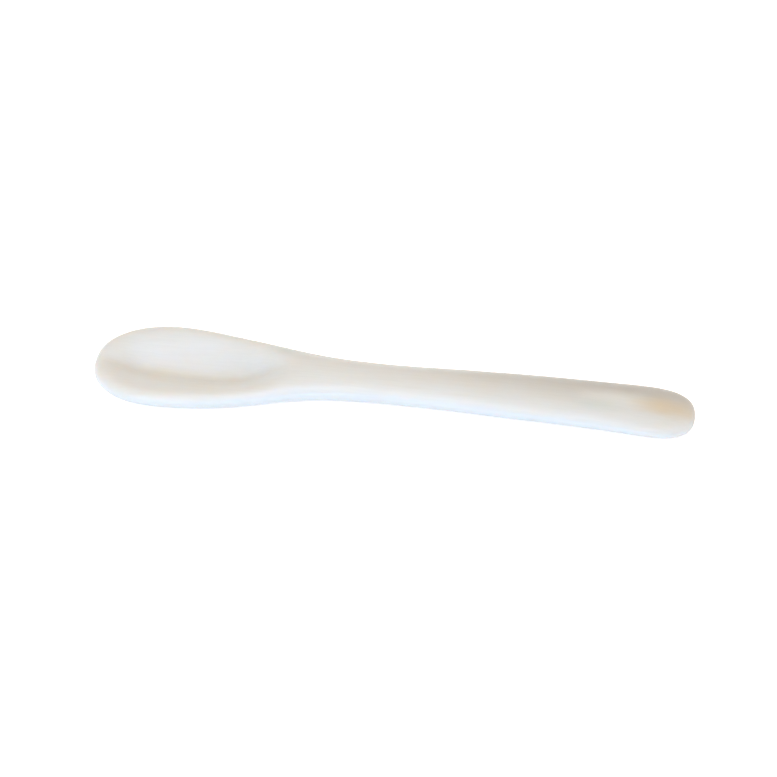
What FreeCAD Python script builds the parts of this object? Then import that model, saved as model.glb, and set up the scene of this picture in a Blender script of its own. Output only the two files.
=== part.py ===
import FreeCAD, Part

import math
import os

# A small one-piece spoon carved from bone. Millimetres, +Z up.
# X runs along the spoon: bowl tip at -X, handle end at +X. The shape is the same on both sides of Y = 0.
# The origin is under the middle of the spoon's box, on the table that the spoon rests on.

# Overall length, tip of the bowl to end of the handle.
LENGTH = 120.0

# Control sections along the spoon, tip first. The skin is a smooth surface drawn towards them, so the finished
# spoon is a little slimmer and its dish a little shallower than the numbers here.
# x: distance from the tip             half_width: half of the plan width
# top: height of the upper surface     thick: upper surface down to the underside
# dish: depth of the hollow            reach: how far across the hollow runs, as a part of the half width
STATIONS = [
    dict(x=0.0, half_width=4.4, top=4.7, thick=2.6, dish=0.0, reach=0.80),
    dict(x=3.5, half_width=8.6, top=5.4, thick=4.2, dish=1.1, reach=0.86),
    dict(x=8.0, half_width=10.8, top=6.1, thick=5.6, dish=4.1, reach=0.90),
    dict(x=14.0, half_width=11.7, top=6.7, thick=6.5, dish=5.6, reach=0.92),
    dict(x=21.0, half_width=11.1, top=6.8, thick=6.9, dish=5.9, reach=0.92),
    dict(x=28.0, half_width=9.9, top=6.6, thick=6.7, dish=5.7, reach=0.92),
    dict(x=34.0, half_width=8.5, top=6.6, thick=6.2, dish=3.5, reach=0.92),
    dict(x=39.5, half_width=7.1, top=6.5, thick=5.6, dish=0.0, reach=0.80),
    dict(x=46.0, half_width=5.6, top=6.4, thick=5.2, dish=0.0, reach=0.80),
    dict(x=58.0, half_width=4.9, top=6.1, thick=5.0, dish=0.0, reach=0.80),
    dict(x=74.0, half_width=5.6, top=5.9, thick=4.9, dish=0.0, reach=0.80),
    dict(x=90.0, half_width=6.3, top=5.5, thick=4.7, dish=0.0, reach=0.80),
    dict(x=104.0, half_width=6.6, top=4.8, thick=4.5, dish=0.0, reach=0.80),
    dict(x=113.0, half_width=7.3, top=4.0, thick=4.1, dish=0.0, reach=0.80),
    dict(x=118.0, half_width=5.9, top=3.3, thick=3.3, dish=0.0, reach=0.80),
    dict(x=LENGTH, half_width=3.0, top=2.9, thick=2.4, dish=0.0, reach=0.80),
]

# The outside of a section is two half superellipses that meet at its widest level.
# This share of the thickness lies above that level.
TOP_SHARE = 0.47
# 2 is an ellipse, and a higher number is flatter with rounder corners.
TOP_ROUNDNESS = 2.2
UNDER_ROUNDNESS = 2.3
# Angles of the control points: from the middle of the top out to the side, then from the side down.
TOP_ANGLES = (0.0, 11.0, 22.0, 33.0, 45.0, 58.0, 74.0, 90.0)
UNDER_ANGLES = (22.0, 45.0, 68.0)

# The hollow falls away from its rim with the first power and meets in its middle with the second.
DISH_RIM_POWER = 1.5
DISH_MIDDLE_POWER = 1.15

# Cubic in both directions.
DEGREE = 3


def dish_depth(station, across):
    """How deep the hollow is at this part of the half width."""
    if across >= station["reach"]:
        return 0.0
    return station["dish"] * (1.0 - (across / station["reach"]) ** DISH_MIDDLE_POWER) ** DISH_RIM_POWER


def half_section(station):
    """Control points (y, z) of the +Y half of one section, from the top middle to the bottom middle."""
    half_width = station["half_width"]
    above = TOP_SHARE * station["thick"]
    below = station["thick"] - above
    widest_level = station["top"] - above

    points = []
    for angle in TOP_ANGLES:
        across = math.sin(math.radians(angle)) ** (2.0 / TOP_ROUNDNESS)
        up = abs(math.cos(math.radians(angle))) ** (2.0 / TOP_ROUNDNESS)
        points.append((half_width * across, widest_level + above * up - dish_depth(station, across)))

    for angle in UNDER_ANGLES:
        across = math.cos(math.radians(angle)) ** (2.0 / UNDER_ROUNDNESS)
        down = math.sin(math.radians(angle)) ** (2.0 / UNDER_ROUNDNESS)
        points.append((half_width * across, widest_level - below * down))

    points.append((0.0, widest_level - below))
    return points


def ring(station):
    """The closed ring of control points of one section."""
    x = station["x"] - LENGTH / 2.0
    right = half_section(station)
    left = [(-y, z) for y, z in right[-2:0:-1]]
    return [FreeCAD.Vector(x, y, z) for y, z in right + left]


def pole(station, count):
    """A ring shrunk to one point, which closes the skin at the tip or at the end."""
    x = station["x"] - LENGTH / 2.0
    z = station["top"] - station["thick"] / 2.0
    return [FreeCAD.Vector(x, 0.0, z)] * count


def make_spoon():
    """The whole spoon as one closed smooth skin."""
    rings = [ring(station) for station in STATIONS]
    around = len(rings[0])
    net = [pole(STATIONS[0], around)] + rings + [pole(STATIONS[-1], around)]

    spans = len(net) - DEGREE
    along_knots = list(range(spans + 1))
    along_mults = [DEGREE + 1] + [1] * (spans - 1) + [DEGREE + 1]
    around_knots = list(range(around + 1))
    around_mults = [1] * (around + 1)

    surface = Part.BSplineSurface()
    surface.buildFromPolesMultsKnots(
        net, along_mults, around_mults, along_knots, around_knots, False, True, DEGREE, DEGREE
    )
    spoon = Part.Solid(Part.Shell([surface.toShape()]))
    if spoon.Volume < 0:
        spoon.reverse()

    # Set the lowest point on the table.
    lowest = spoon.optimalBoundingBox(True, False).ZMin
    spoon.translate(FreeCAD.Vector(0.0, 0.0, -lowest))
    return spoon


os.makedirs("parts", exist_ok=True)
make_spoon().exportStep("parts/spoon.step")
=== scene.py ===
import math

import bpy
from mathutils import Matrix, Vector


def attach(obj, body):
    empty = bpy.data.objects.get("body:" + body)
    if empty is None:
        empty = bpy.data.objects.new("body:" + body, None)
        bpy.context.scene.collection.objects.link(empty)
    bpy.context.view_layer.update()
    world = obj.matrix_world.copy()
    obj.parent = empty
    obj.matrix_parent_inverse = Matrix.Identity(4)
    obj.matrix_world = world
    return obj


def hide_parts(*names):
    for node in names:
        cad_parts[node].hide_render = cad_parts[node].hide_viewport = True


bl_info = {
    "name": "Carved Bone Spoon",
    "version": (1, 0, 0),
    "blender": (4, 5, 0),
    "location": "3D View > Sidebar > Bone Spoon",
    "description": "A small polished spoon carved from one piece of bone, on a pale studio floor",
    "category": "Object",
}

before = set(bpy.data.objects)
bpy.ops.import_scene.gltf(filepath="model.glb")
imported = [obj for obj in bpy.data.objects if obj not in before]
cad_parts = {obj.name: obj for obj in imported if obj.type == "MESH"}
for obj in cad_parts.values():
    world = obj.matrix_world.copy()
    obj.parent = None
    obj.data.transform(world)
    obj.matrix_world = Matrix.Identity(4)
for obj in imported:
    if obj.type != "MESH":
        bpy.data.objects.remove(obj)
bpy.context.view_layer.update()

SPOON_NODE = "spoon"
SPOON_PIECE = "carved_spoon"
BODY = "root"

MM = 0.001


# --- what a user may change -----------------------------------------------------------------------

class SpoonCarving(bpy.types.PropertyGroup):
    """How the spoon is carved and rubbed smooth."""

    mesh_step: bpy.props.FloatProperty(
        name="Mesh step",
        description="Side of the even squares that the skin is rebuilt from",
        default=0.3 * MM, min=0.25 * MM, max=1.0 * MM, precision=5, unit="LENGTH",
    )
    polish_passes: bpy.props.IntProperty(
        name="Polish passes",
        description="How often the rebuilt skin is rubbed smooth",
        default=14, min=0, max=60,
    )
    wave_depth: bpy.props.FloatProperty(
        name="Hand-carved waves",
        description="Height of the slow unevenness that a hand tool leaves",
        default=0.12 * MM, min=0.0, max=1.0 * MM, precision=5, unit="LENGTH",
    )
    wave_length: bpy.props.FloatProperty(
        name="Wave length",
        description="Distance over which the unevenness comes and goes",
        default=14.0 * MM, min=2.0 * MM, max=50.0 * MM, precision=4, unit="LENGTH",
    )


class BoneFinish(bpy.types.PropertyGroup):
    """The colours and the polish of the bone, and the painted shade and painted light on it."""

    bone_colour: bpy.props.FloatVectorProperty(
        name="Bone", description="Main colour of the polished bone",
        default=(0.756, 0.707, 0.64, 1.0), size=4, min=0.0, max=1.0, subtype="COLOR",
    )
    cool_colour: bpy.props.FloatVectorProperty(
        name="Cool cloud", description="Colour of the milky clouds in the bone",
        default=(0.756, 0.718, 0.665, 1.0), size=4, min=0.0, max=1.0, subtype="COLOR",
    )
    # Painted shade: the handle's end and far side are painted darker where the light falls off.
    painted_shade_colour: bpy.props.FloatVectorProperty(
        name="Painted handle shade",
        description="Colour of the painted shade at the end and along the far side of the handle",
        default=(0.58, 0.52, 0.45, 1.0), size=4, min=0.0, max=1.0, subtype="COLOR",
    )
    honey_colour: bpy.props.FloatVectorProperty(
        name="Honey patch", description="Colour of the warm patch by the end of the handle",
        default=(0.72, 0.54, 0.325, 1.0), size=4, min=0.0, max=1.0, subtype="COLOR",
    )
    pale_colour: bpy.props.FloatVectorProperty(
        name="Pale patch", description="Colour of the pale patch beside the honey one",
        default=(0.80, 0.765, 0.70, 1.0), size=4, min=0.0, max=1.0, subtype="COLOR",
    )
    # Painted light: a grey-green tint where the cool light and the warm shade meet.
    painted_light_colour: bpy.props.FloatVectorProperty(
        name="Painted grey-green light", description="Colour of the faint grey-green painted light, where cool light meets warm shade",
        default=(0.61, 0.63, 0.567, 1.0), size=4, min=0.0, max=1.0, subtype="COLOR",
    )
    pore_colour: bpy.props.FloatVectorProperty(
        name="Pores", description="Colour of the fine open pores along the bone",
        default=(0.52, 0.42, 0.32, 1.0), size=4, min=0.0, max=1.0, subtype="COLOR",
    )
    polish: bpy.props.FloatProperty(
        name="Roughness", description="Roughness of the polished skin",
        default=0.33, min=0.05, max=1.0, subtype="FACTOR",
    )
    glow_depth: bpy.props.FloatProperty(
        name="Glow depth", description="How far light travels inside the bone",
        default=2.0 * MM, min=0.0, max=10.0 * MM, precision=4, unit="LENGTH",
    )


class StudioStage(bpy.types.PropertyGroup):
    """The floor and the lights."""

    floor_colour: bpy.props.FloatVectorProperty(
        name="Floor", description="Colour of the studio floor",
        default=(0.9, 0.9, 0.9, 1.0), size=4, min=0.0, max=1.0, subtype="COLOR",
    )
    floor_glow: bpy.props.FloatVectorProperty(
        name="Floor glow", description="Light that the lit studio table gives off itself",
        default=(0.107, 0.136, 0.171, 1.0), size=4, min=0.0, max=1.0, subtype="COLOR",
    )
    floor_bleach: bpy.props.FloatVectorProperty(
        name="Floor bleach",
        description="Glow that only the camera sees, which keeps the floor white under the spoon",
        default=(0.62, 0.54, 0.50, 1.0), size=4, min=0.0, max=1.0, subtype="COLOR",
    )
    ceiling_colour: bpy.props.FloatVectorProperty(
        name="Ceiling light", description="Colour of the warm light from overhead",
        default=(1.08, 1.015, 0.78, 1.0), size=4, min=0.0, max=2.0, subtype="COLOR",
    )
    upper_wall_colour: bpy.props.FloatVectorProperty(
        name="Upper wall light", description="Colour of the dim light from the top of the walls",
        default=(0.14, 0.02, 0.01, 1.0), size=4, min=0.0, max=2.0, subtype="COLOR",
    )
    lower_wall_colour: bpy.props.FloatVectorProperty(
        name="Lower wall light", description="Colour of the cool light from the foot of the walls",
        default=(1.14, 1.50, 1.79, 1.0), size=4, min=0.0, max=2.0, subtype="COLOR",
    )
    key_power: bpy.props.FloatProperty(
        name="Window light", description="Power of the cool light at the front left",
        default=3.2, min=0.0, max=50.0, unit="POWER",
    )
    top_power: bpy.props.FloatProperty(
        name="Top light", description="Power of the light overhead",
        default=2.2, min=0.0, max=50.0, unit="POWER",
    )
    front_power: bpy.props.FloatProperty(
        name="Front light", description="Power of the low light at the front",
        default=3.2, min=0.0, max=50.0, unit="POWER",
    )


# --- nodes ----------------------------------------------------------------------------------------

def feed(tree, socket, value):
    """Joins a socket to another node's output, or sets it to a plain value."""
    if isinstance(value, bpy.types.NodeSocket):
        tree.links.new(value, socket)
    else:
        socket.default_value = value


def stretched_coordinates(tree, size):
    """The piece's own coordinates, counted in steps of this size along each axis."""
    place = tree.nodes.new("ShaderNodeTexCoord")
    stretch = tree.nodes.new("ShaderNodeMapping")
    stretch.inputs["Scale"].default_value = tuple(1.0 / step for step in size)
    tree.links.new(place.outputs["Object"], stretch.inputs["Vector"])
    return stretch.outputs["Vector"]


def cloud(tree, size, detail=3.0, roughness=0.5, distortion=0.0):
    """Noise whose features have this size along X, Y and Z."""
    noise = tree.nodes.new("ShaderNodeTexNoise")
    noise.inputs["Scale"].default_value = 1.0
    noise.inputs["Detail"].default_value = detail
    noise.inputs["Roughness"].default_value = roughness
    noise.inputs["Distortion"].default_value = distortion
    tree.links.new(stretched_coordinates(tree, size), noise.inputs["Vector"])
    return noise.outputs["Fac"]


def ramp(tree, value, start, stop, low=0.0, high=1.0):
    """Runs smoothly from low at start to high at stop."""
    reach = tree.nodes.new("ShaderNodeMapRange")
    reach.interpolation_type = "SMOOTHSTEP"
    tree.links.new(value, reach.inputs["Value"])
    reach.inputs["From Min"].default_value = start
    reach.inputs["From Max"].default_value = stop
    reach.inputs["To Min"].default_value = low
    reach.inputs["To Max"].default_value = high
    return reach.outputs["Result"]


def arithmetic(tree, operation, *values):
    step = tree.nodes.new("ShaderNodeMath")
    step.operation = operation
    for socket, value in zip(step.inputs, values):
        feed(tree, socket, value)
    return step.outputs["Value"]


def blend_colour(tree, factor, first, second, way="MIX"):
    mixer = tree.nodes.new("ShaderNodeMix")
    mixer.data_type = "RGBA"
    mixer.blend_type = way
    feed(tree, mixer.inputs["Factor"], factor)
    feed(tree, mixer.inputs["A"], first)
    feed(tree, mixer.inputs["B"], second)
    return mixer.outputs["Result"]


# Where a patch is full and where it has faded out, as parts of its reach.
PATCH_FULL = 0.15
PATCH_GONE = 1.15


def patch(tree, centre, reach, strength, wander):
    """A soft patch round a place on the spoon, with a wandering edge."""
    place = tree.nodes.new("ShaderNodeTexCoord")
    shift = tree.nodes.new("ShaderNodeMapping")
    shift.inputs["Location"].default_value = tuple(-c / r for c, r in zip(centre, reach))
    shift.inputs["Scale"].default_value = tuple(1.0 / r for r in reach)
    tree.links.new(place.outputs["Object"], shift.inputs["Vector"])
    distance = tree.nodes.new("ShaderNodeVectorMath")
    distance.operation = "LENGTH"
    tree.links.new(shift.outputs["Vector"], distance.inputs[0])
    edge = arithmetic(tree, "ADD", distance.outputs["Value"], wander)
    return ramp(tree, edge, PATCH_FULL, PATCH_GONE, strength, 0.0)


# --- the bone -------------------------------------------------------------------------------------

# Places of the natural marks and of the grey-green painted light, from the middle of the spoon's box on the
# table.
HONEY_PLACE = (54.3 * MM, -0.1 * MM, 3.9 * MM)
HONEY_REACH = (8.0 * MM, 3.2 * MM, 4.0 * MM)
PALE_PLACE = (44.5 * MM, 0.3 * MM, 4.6 * MM)
PALE_REACH = (10.0 * MM, 3.0 * MM, 3.0 * MM)
# Painted light: grey-green tint where the cool light meets the warm shade, on the near side of the handle and
# on the far side of the neck.
NEAR_PAINTED_LIGHT_PLACE = (41.0 * MM, -2.0 * MM, 4.8 * MM)
NEAR_PAINTED_LIGHT_REACH = (6.0 * MM, 2.0 * MM, 3.0 * MM)
NECK_PAINTED_LIGHT_PLACE = (-21.0 * MM, 5.8 * MM, 4.6 * MM)
NECK_PAINTED_LIGHT_REACH = (6.0 * MM, 3.0 * MM, 3.0 * MM)

# How strongly each mark covers the bone.
PALE_STRENGTH = 0.6
NEAR_PAINTED_LIGHT_STRENGTH = 0.35
NECK_PAINTED_LIGHT_STRENGTH = 0.4
HONEY_STRENGTH = 0.52

# How far the edges of the marks wander, and the shift that keeps them as wide as they are set.
WANDER_AMOUNT = 0.5
WANDER_SHIFT = -0.25

# Painted shade: the handle is painted darker from the neck on, fully near the end, where the light falls off.
# Across the handle it grows towards the far side, which faces away from the light, and the lit near side
# keeps a little of it.
PAINTED_SHADE_START = -15.0 * MM
PAINTED_SHADE_FULL = 48.0 * MM
PAINTED_SHADE_LIGHT_SIDE = -4.5 * MM
PAINTED_SHADE_DARK_SIDE = 5.5 * MM
PAINTED_SHADE_LEAST = 0.1

# Sizes of the bone's markings along X, Y and Z.
CLOUD_SIZE = (14.0 * MM, 6.0 * MM, 6.0 * MM)
GRAIN_SIZE = (9.0 * MM, 0.45 * MM, 0.45 * MM)
FIBRE_SIZE = (3.0 * MM, 0.12 * MM, 0.12 * MM)
PORE_SIZE = (1.1 * MM, 0.09 * MM, 0.09 * MM)
HANDLING_SIZE = (5.0 * MM, 3.0 * MM, 3.0 * MM)
WANDER_SIZE = (3.0 * MM, 1.6 * MM, 1.6 * MM)

# The noise levels between which each marking comes in.
CLOUD_LEVELS = (0.36, 0.66)
GRAIN_LEVELS = (0.3, 0.7)
PORE_LEVELS = (0.70, 0.82)
HANDLING_LEVELS = (0.3, 0.7)

GRAIN_DARKEST = 0.972
PORE_STRENGTH = 0.1

# Handling makes the skin glossier in places and duller in others, and pores are duller still.
GLOSSIER = 0.05
DULLER = 0.07
PORE_DULLNESS = 0.2

SCRAPE_STRENGTH = 0.35
SCRAPE_HEIGHT = 0.012 * MM
SWELL_STRENGTH = 0.5
SWELL_HEIGHT = 0.04 * MM

# Light goes deeper into the bone in red than in green or blue.
BONE_IOR = 1.54
GLOW_RADIUS = (1.0, 0.75, 0.6)
WAX_WEIGHT = 0.12
WAX_ROUGHNESS = 0.2


def polished_bone(finish):
    material = bpy.data.materials.new("polished_bone")
    material.use_nodes = True
    tree = material.node_tree
    skin = tree.nodes["Principled BSDF"]

    # Milky clouds, and painted shade that darkens the handle towards its end and its far side.
    clouds = ramp(tree, cloud(tree, CLOUD_SIZE, detail=4.0, distortion=0.6), *CLOUD_LEVELS)
    colour = blend_colour(tree, clouds, tuple(finish.bone_colour), tuple(finish.cool_colour))
    place = tree.nodes.new("ShaderNodeTexCoord")
    parts = tree.nodes.new("ShaderNodeSeparateXYZ")
    tree.links.new(place.outputs["Object"], parts.inputs["Vector"])
    # Painted shade: more towards the end of the handle and towards its far side.
    along = ramp(tree, parts.outputs["X"], PAINTED_SHADE_START, PAINTED_SHADE_FULL)
    across = ramp(tree, parts.outputs["Y"], PAINTED_SHADE_LIGHT_SIDE, PAINTED_SHADE_DARK_SIDE, PAINTED_SHADE_LEAST, 1.0)
    shade = arithmetic(tree, "MULTIPLY", along, across)
    colour = blend_colour(tree, shade, colour, tuple(finish.painted_shade_colour))

    # The natural marks, and the grey-green painted light where the cool light meets the warm shade.
    wander = arithmetic(tree, "MULTIPLY_ADD", cloud(tree, WANDER_SIZE), WANDER_AMOUNT, WANDER_SHIFT)
    marks = (
        (finish.pale_colour, PALE_PLACE, PALE_REACH, PALE_STRENGTH),
        (finish.painted_light_colour, NEAR_PAINTED_LIGHT_PLACE, NEAR_PAINTED_LIGHT_REACH, NEAR_PAINTED_LIGHT_STRENGTH),
        (finish.painted_light_colour, NECK_PAINTED_LIGHT_PLACE, NECK_PAINTED_LIGHT_REACH, NECK_PAINTED_LIGHT_STRENGTH),
        (finish.honey_colour, HONEY_PLACE, HONEY_REACH, HONEY_STRENGTH),
    )
    for mark_colour, mark_place, mark_reach, strength in marks:
        amount = patch(tree, mark_place, mark_reach, strength, wander)
        colour = blend_colour(tree, amount, colour, tuple(mark_colour))

    # Fine grain along the bone, and a few dark pores.
    grain = cloud(tree, GRAIN_SIZE, detail=5.0, roughness=0.6)
    grain_tone = ramp(tree, grain, *GRAIN_LEVELS, GRAIN_DARKEST, 1.0)
    colour = blend_colour(tree, 1.0, colour, grain_tone, "MULTIPLY")
    pores = ramp(tree, cloud(tree, PORE_SIZE, detail=1.0), *PORE_LEVELS)
    pore_amount = arithmetic(tree, "MULTIPLY", pores, PORE_STRENGTH)
    colour = blend_colour(tree, pore_amount, colour, tuple(finish.pore_colour))
    tree.links.new(colour, skin.inputs["Base Color"])

    # Polish that handling has left uneven, duller in the pores.
    handling = cloud(tree, HANDLING_SIZE, detail=5.0, roughness=0.65)
    sheen = ramp(tree, handling, *HANDLING_LEVELS, finish.polish - GLOSSIER, finish.polish + DULLER)
    dull = arithmetic(tree, "MULTIPLY", pores, PORE_DULLNESS)
    tree.links.new(arithmetic(tree, "ADD", sheen, dull), skin.inputs["Roughness"])

    # Relief: fibres left by scraping along the bone, and the pores sunk below them.
    fibres = cloud(tree, FIBRE_SIZE, detail=4.0, roughness=0.6)
    scrape = tree.nodes.new("ShaderNodeBump")
    scrape.inputs["Strength"].default_value = SCRAPE_STRENGTH
    scrape.inputs["Distance"].default_value = SCRAPE_HEIGHT
    tree.links.new(arithmetic(tree, "SUBTRACT", fibres, pores), scrape.inputs["Height"])
    swell = tree.nodes.new("ShaderNodeBump")
    swell.inputs["Strength"].default_value = SWELL_STRENGTH
    swell.inputs["Distance"].default_value = SWELL_HEIGHT
    tree.links.new(grain, swell.inputs["Height"])
    tree.links.new(scrape.outputs["Normal"], swell.inputs["Normal"])
    tree.links.new(swell.outputs["Normal"], skin.inputs["Normal"])

    skin.inputs["IOR"].default_value = BONE_IOR
    skin.inputs["Subsurface Weight"].default_value = 1.0
    skin.inputs["Subsurface Radius"].default_value = GLOW_RADIUS
    skin.inputs["Subsurface Scale"].default_value = finish.glow_depth
    skin.inputs["Coat Weight"].default_value = WAX_WEIGHT
    skin.inputs["Coat Roughness"].default_value = WAX_ROUGHNESS
    return material


# --- the spoon ------------------------------------------------------------------------------------

def pick_only(obj):
    """Selects one object and makes it the active one."""
    bpy.ops.object.select_all(action="DESELECT")
    obj.select_set(True)
    bpy.context.view_layer.objects.active = obj


def apply_modifier(obj, kind, **settings):
    modifier = obj.modifiers.new(kind.title(), kind)
    for name, value in settings.items():
        setattr(modifier, name, value)
    pick_only(obj)
    bpy.ops.object.modifier_apply(modifier=modifier.name)


# Corners closer than this are one corner.
JOIN_DISTANCE = 0.001 * MM
RUB_FACTOR = 0.5


class OBJECT_OT_bone_spoon(bpy.types.Operator):
    """Carves the spoon: rebuilds the plain shape's skin evenly, then gives it hand-carved waves and polish"""

    bl_idname = "object.bone_spoon"
    bl_label = "Carve Spoon"
    bl_options = {"REGISTER", "UNDO"}

    def execute(self, context):
        carving = context.scene.spoon_carving
        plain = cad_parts[SPOON_NODE]
        spoon = bpy.data.objects.new(SPOON_PIECE, plain.data.copy())
        spoon.data.name = SPOON_PIECE
        context.scene.collection.objects.link(spoon)

        # The plain mesh is loose triangles, so its corners are joined first.
        pick_only(spoon)
        bpy.ops.object.mode_set(mode="EDIT")
        bpy.ops.mesh.select_all(action="SELECT")
        bpy.ops.mesh.remove_doubles(threshold=JOIN_DISTANCE)
        bpy.ops.mesh.normals_make_consistent(inside=False)
        bpy.ops.object.mode_set(mode="OBJECT")
        bpy.ops.mesh.customdata_custom_splitnormals_clear()

        apply_modifier(spoon, "REMESH", mode="VOXEL", voxel_size=carving.mesh_step, use_smooth_shade=True)
        apply_modifier(spoon, "SMOOTH", factor=RUB_FACTOR, iterations=carving.polish_passes)

        waves = bpy.data.textures.new("carved_waves", "CLOUDS")
        waves.noise_scale = carving.wave_length
        waves.noise_depth = 1
        apply_modifier(
            spoon, "DISPLACE", texture=waves, texture_coords="LOCAL", direction="NORMAL",
            mid_level=0.5, strength=carving.wave_depth,
        )
        bpy.data.textures.remove(waves)
        pick_only(spoon)
        bpy.ops.object.shade_smooth()

        spoon.data.materials.clear()
        spoon.data.materials.append(polished_bone(context.scene.bone_finish))
        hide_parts(SPOON_NODE)
        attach(spoon, BODY)
        return {"FINISHED"}


# --- the stage ------------------------------------------------------------------------------------

FLOOR_SIDE = 8.0
FLOOR_ROUGHNESS = 0.7
FLOOR_SHINE = 0.2

# How high in the room the dim band lies and the ceiling light starts, from 0 level to 1 overhead.
DIM_BAND_LEVEL = 0.45
CEILING_LEVEL = 0.75

# Each soft box: its name, azimuth, elevation, side and colour, and the stage setting that holds its power.
LIGHT_DISTANCE = 1.0
SOFT_BOXES = (
    ("window_light", -30.0, 42.0, 0.4, (0.41, 0.655, 1.0), "key_power"),
    ("top_light", 0.0, 80.0, 0.5, (0.64, 0.71, 1.0), "top_power"),
    ("front_light", 0.0, 16.0, 0.4, (0.165, 0.49, 1.0), "front_power"),
)

# Where the camera stands, in degrees and metres, its lens and sensor in millimetres, and where it aims.
CAMERA_AZIMUTH = 8.1
CAMERA_ELEVATION = 43.0
CAMERA_DISTANCE = 0.52
CAMERA_ROLL = -0.75
CAMERA_LENS = 121.7
CAMERA_SENSOR = 36.0
CAMERA_AIM = (-0.63 * MM, -0.77 * MM, 3.31 * MM)
CAMERA_NEAREST = 0.01
CAMERA_FARTHEST = 20.0


def around(azimuth, elevation, distance):
    """A place round the spoon. Azimuth 0 is in front of it and 90 is beyond the end of the handle."""
    turn = math.radians(azimuth)
    rise = math.radians(elevation)
    return distance * Vector((
        math.sin(turn) * math.cos(rise),
        -math.cos(turn) * math.cos(rise),
        math.sin(rise),
    ))


def soft_box(name, azimuth, elevation, side, colour, power):
    """A square light that faces the spoon."""
    light = bpy.data.lights.new(name, "AREA")
    light.shape = "SQUARE"
    light.size = side
    light.energy = power
    light.color = colour
    box = bpy.data.objects.new(name, light)
    bpy.context.scene.collection.objects.link(box)
    place = around(azimuth, elevation, LIGHT_DISTANCE)
    box.location = place
    box.rotation_euler = (-place).to_track_quat("-Z", "Y").to_euler()


def studio_floor(stage):
    """The floor glows a little to light the spoon, and more to the camera, which then sees it as white."""
    bpy.ops.object.select_all(action="DESELECT")
    bpy.ops.mesh.primitive_plane_add(size=FLOOR_SIDE, location=(0.0, 0.0, 0.0))
    floor = bpy.context.active_object
    floor.name = "studio_floor"
    material = bpy.data.materials.new("pale_table")
    material.use_nodes = True
    tree = material.node_tree
    surface = tree.nodes["Principled BSDF"]
    surface.inputs["Base Color"].default_value = tuple(stage.floor_colour)
    surface.inputs["Roughness"].default_value = FLOOR_ROUGHNESS
    surface.inputs["Specular IOR Level"].default_value = FLOOR_SHINE
    path = tree.nodes.new("ShaderNodeLightPath")
    seen = path.outputs["Is Camera Ray"]
    glow = blend_colour(tree, seen, tuple(stage.floor_glow), tuple(stage.floor_bleach))
    tree.links.new(glow, surface.inputs["Emission Color"])
    surface.inputs["Emission Strength"].default_value = 1.0
    floor.data.materials.append(material)


def studio_room(stage):
    """Light from all round, cool at the foot of the walls and warm overhead. The camera sees it as white."""
    world = bpy.data.worlds.new("studio_room")
    bpy.context.scene.world = world
    world.use_nodes = True
    tree = world.node_tree
    room = tree.nodes["Background"]
    direction = tree.nodes.new("ShaderNodeTexCoord")
    parts = tree.nodes.new("ShaderNodeSeparateXYZ")
    blend = tree.nodes.new("ShaderNodeValToRGB")
    heights = blend.color_ramp.elements
    heights[0].position = 0.0
    heights[0].color = tuple(stage.lower_wall_colour)
    heights[1].position = CEILING_LEVEL
    heights[1].color = tuple(stage.ceiling_colour)
    heights.new(DIM_BAND_LEVEL).color = tuple(stage.upper_wall_colour)
    tree.links.new(direction.outputs["Generated"], parts.inputs["Vector"])
    tree.links.new(parts.outputs["Z"], blend.inputs["Fac"])
    tree.links.new(blend.outputs["Color"], room.inputs["Color"])
    wall = tree.nodes.new("ShaderNodeBackground")
    wall.inputs["Color"].default_value = (1.0, 1.0, 1.0, 1.0)
    path = tree.nodes.new("ShaderNodeLightPath")
    seen = tree.nodes.new("ShaderNodeMixShader")
    tree.links.new(path.outputs["Is Camera Ray"], seen.inputs["Fac"])
    tree.links.new(room.outputs["Background"], seen.inputs[1])
    tree.links.new(wall.outputs["Background"], seen.inputs[2])
    tree.links.new(seen.outputs["Shader"], tree.nodes["World Output"].inputs["Surface"])


def studio_camera():
    camera = bpy.data.cameras.new("studio_camera")
    camera.sensor_width = CAMERA_SENSOR
    camera.lens = CAMERA_LENS
    camera.clip_start = CAMERA_NEAREST
    camera.clip_end = CAMERA_FARTHEST
    stand = bpy.data.objects.new("studio_camera", camera)
    bpy.context.scene.collection.objects.link(stand)
    back = around(CAMERA_AZIMUTH, CAMERA_ELEVATION, CAMERA_DISTANCE)
    turn = (-back).to_track_quat("-Z", "Y").to_matrix().to_4x4()
    roll = Matrix.Rotation(math.radians(CAMERA_ROLL), 4, "Z")
    stand.matrix_world = Matrix.Translation(Vector(CAMERA_AIM) + back) @ turn @ roll
    bpy.context.scene.camera = stand


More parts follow.
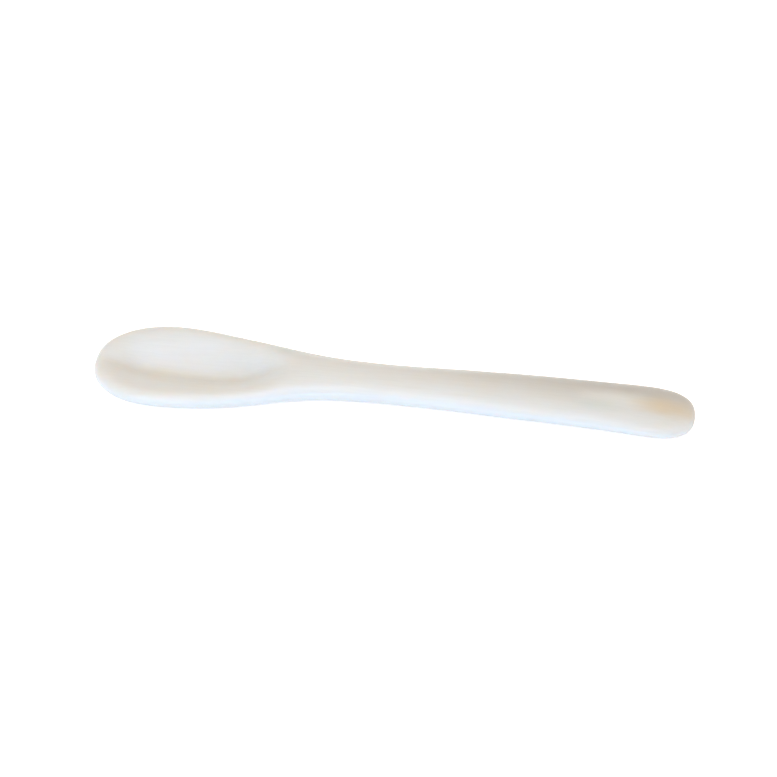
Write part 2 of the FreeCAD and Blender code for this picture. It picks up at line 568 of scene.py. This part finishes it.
class OBJECT_OT_bone_spoon_stage(bpy.types.Operator):
    """Sets up the pale floor, the soft lights, the room and the camera"""

    bl_idname = "object.bone_spoon_stage"
    bl_label = "Build Studio"
    bl_options = {"REGISTER", "UNDO"}

    def execute(self, context):
        stage = context.scene.studio_stage
        studio_floor(stage)
        studio_room(stage)
        for name, azimuth, elevation, side, colour, setting in SOFT_BOXES:
            soft_box(name, azimuth, elevation, side, colour, getattr(stage, setting))
        studio_camera()
        context.scene.view_settings.view_transform = "Standard"
        return {"FINISHED"}


# --- the panel and the add-on ---------------------------------------------------------------------

class VIEW3D_PT_bone_spoon(bpy.types.Panel):
    """Lists the spoon's operators and settings"""

    bl_idname = "VIEW3D_PT_bone_spoon"
    bl_label = "Bone Spoon"
    bl_space_type = "VIEW_3D"
    bl_region_type = "UI"
    bl_category = "Bone Spoon"

    def draw(self, context):
        layout = self.layout
        scene = context.scene
        groups = (
            (OBJECT_OT_bone_spoon, (scene.spoon_carving, scene.bone_finish)),
            (OBJECT_OT_bone_spoon_stage, (scene.studio_stage,)),
        )
        for operator, settings in groups:
            box = layout.box()
            box.operator(operator.bl_idname)
            for group in settings:
                for name in group.bl_rna.properties.keys():
                    if name not in {"rna_type", "name"}:
                        box.prop(group, name)


CLASSES = (
    SpoonCarving,
    BoneFinish,
    StudioStage,
    OBJECT_OT_bone_spoon,
    OBJECT_OT_bone_spoon_stage,
    VIEW3D_PT_bone_spoon,
)


def register():
    for cls in CLASSES:
        bpy.utils.register_class(cls)
    bpy.types.Scene.spoon_carving = bpy.props.PointerProperty(type=SpoonCarving)
    bpy.types.Scene.bone_finish = bpy.props.PointerProperty(type=BoneFinish)
    bpy.types.Scene.studio_stage = bpy.props.PointerProperty(type=StudioStage)


def unregister():
    del bpy.types.Scene.studio_stage
    del bpy.types.Scene.bone_finish
    del bpy.types.Scene.spoon_carving
    for cls in reversed(CLASSES):
        bpy.utils.unregister_class(cls)


def main():
    register()
    bpy.ops.object.bone_spoon()
    bpy.ops.object.bone_spoon_stage()


if __name__ == "__main__":
    main()
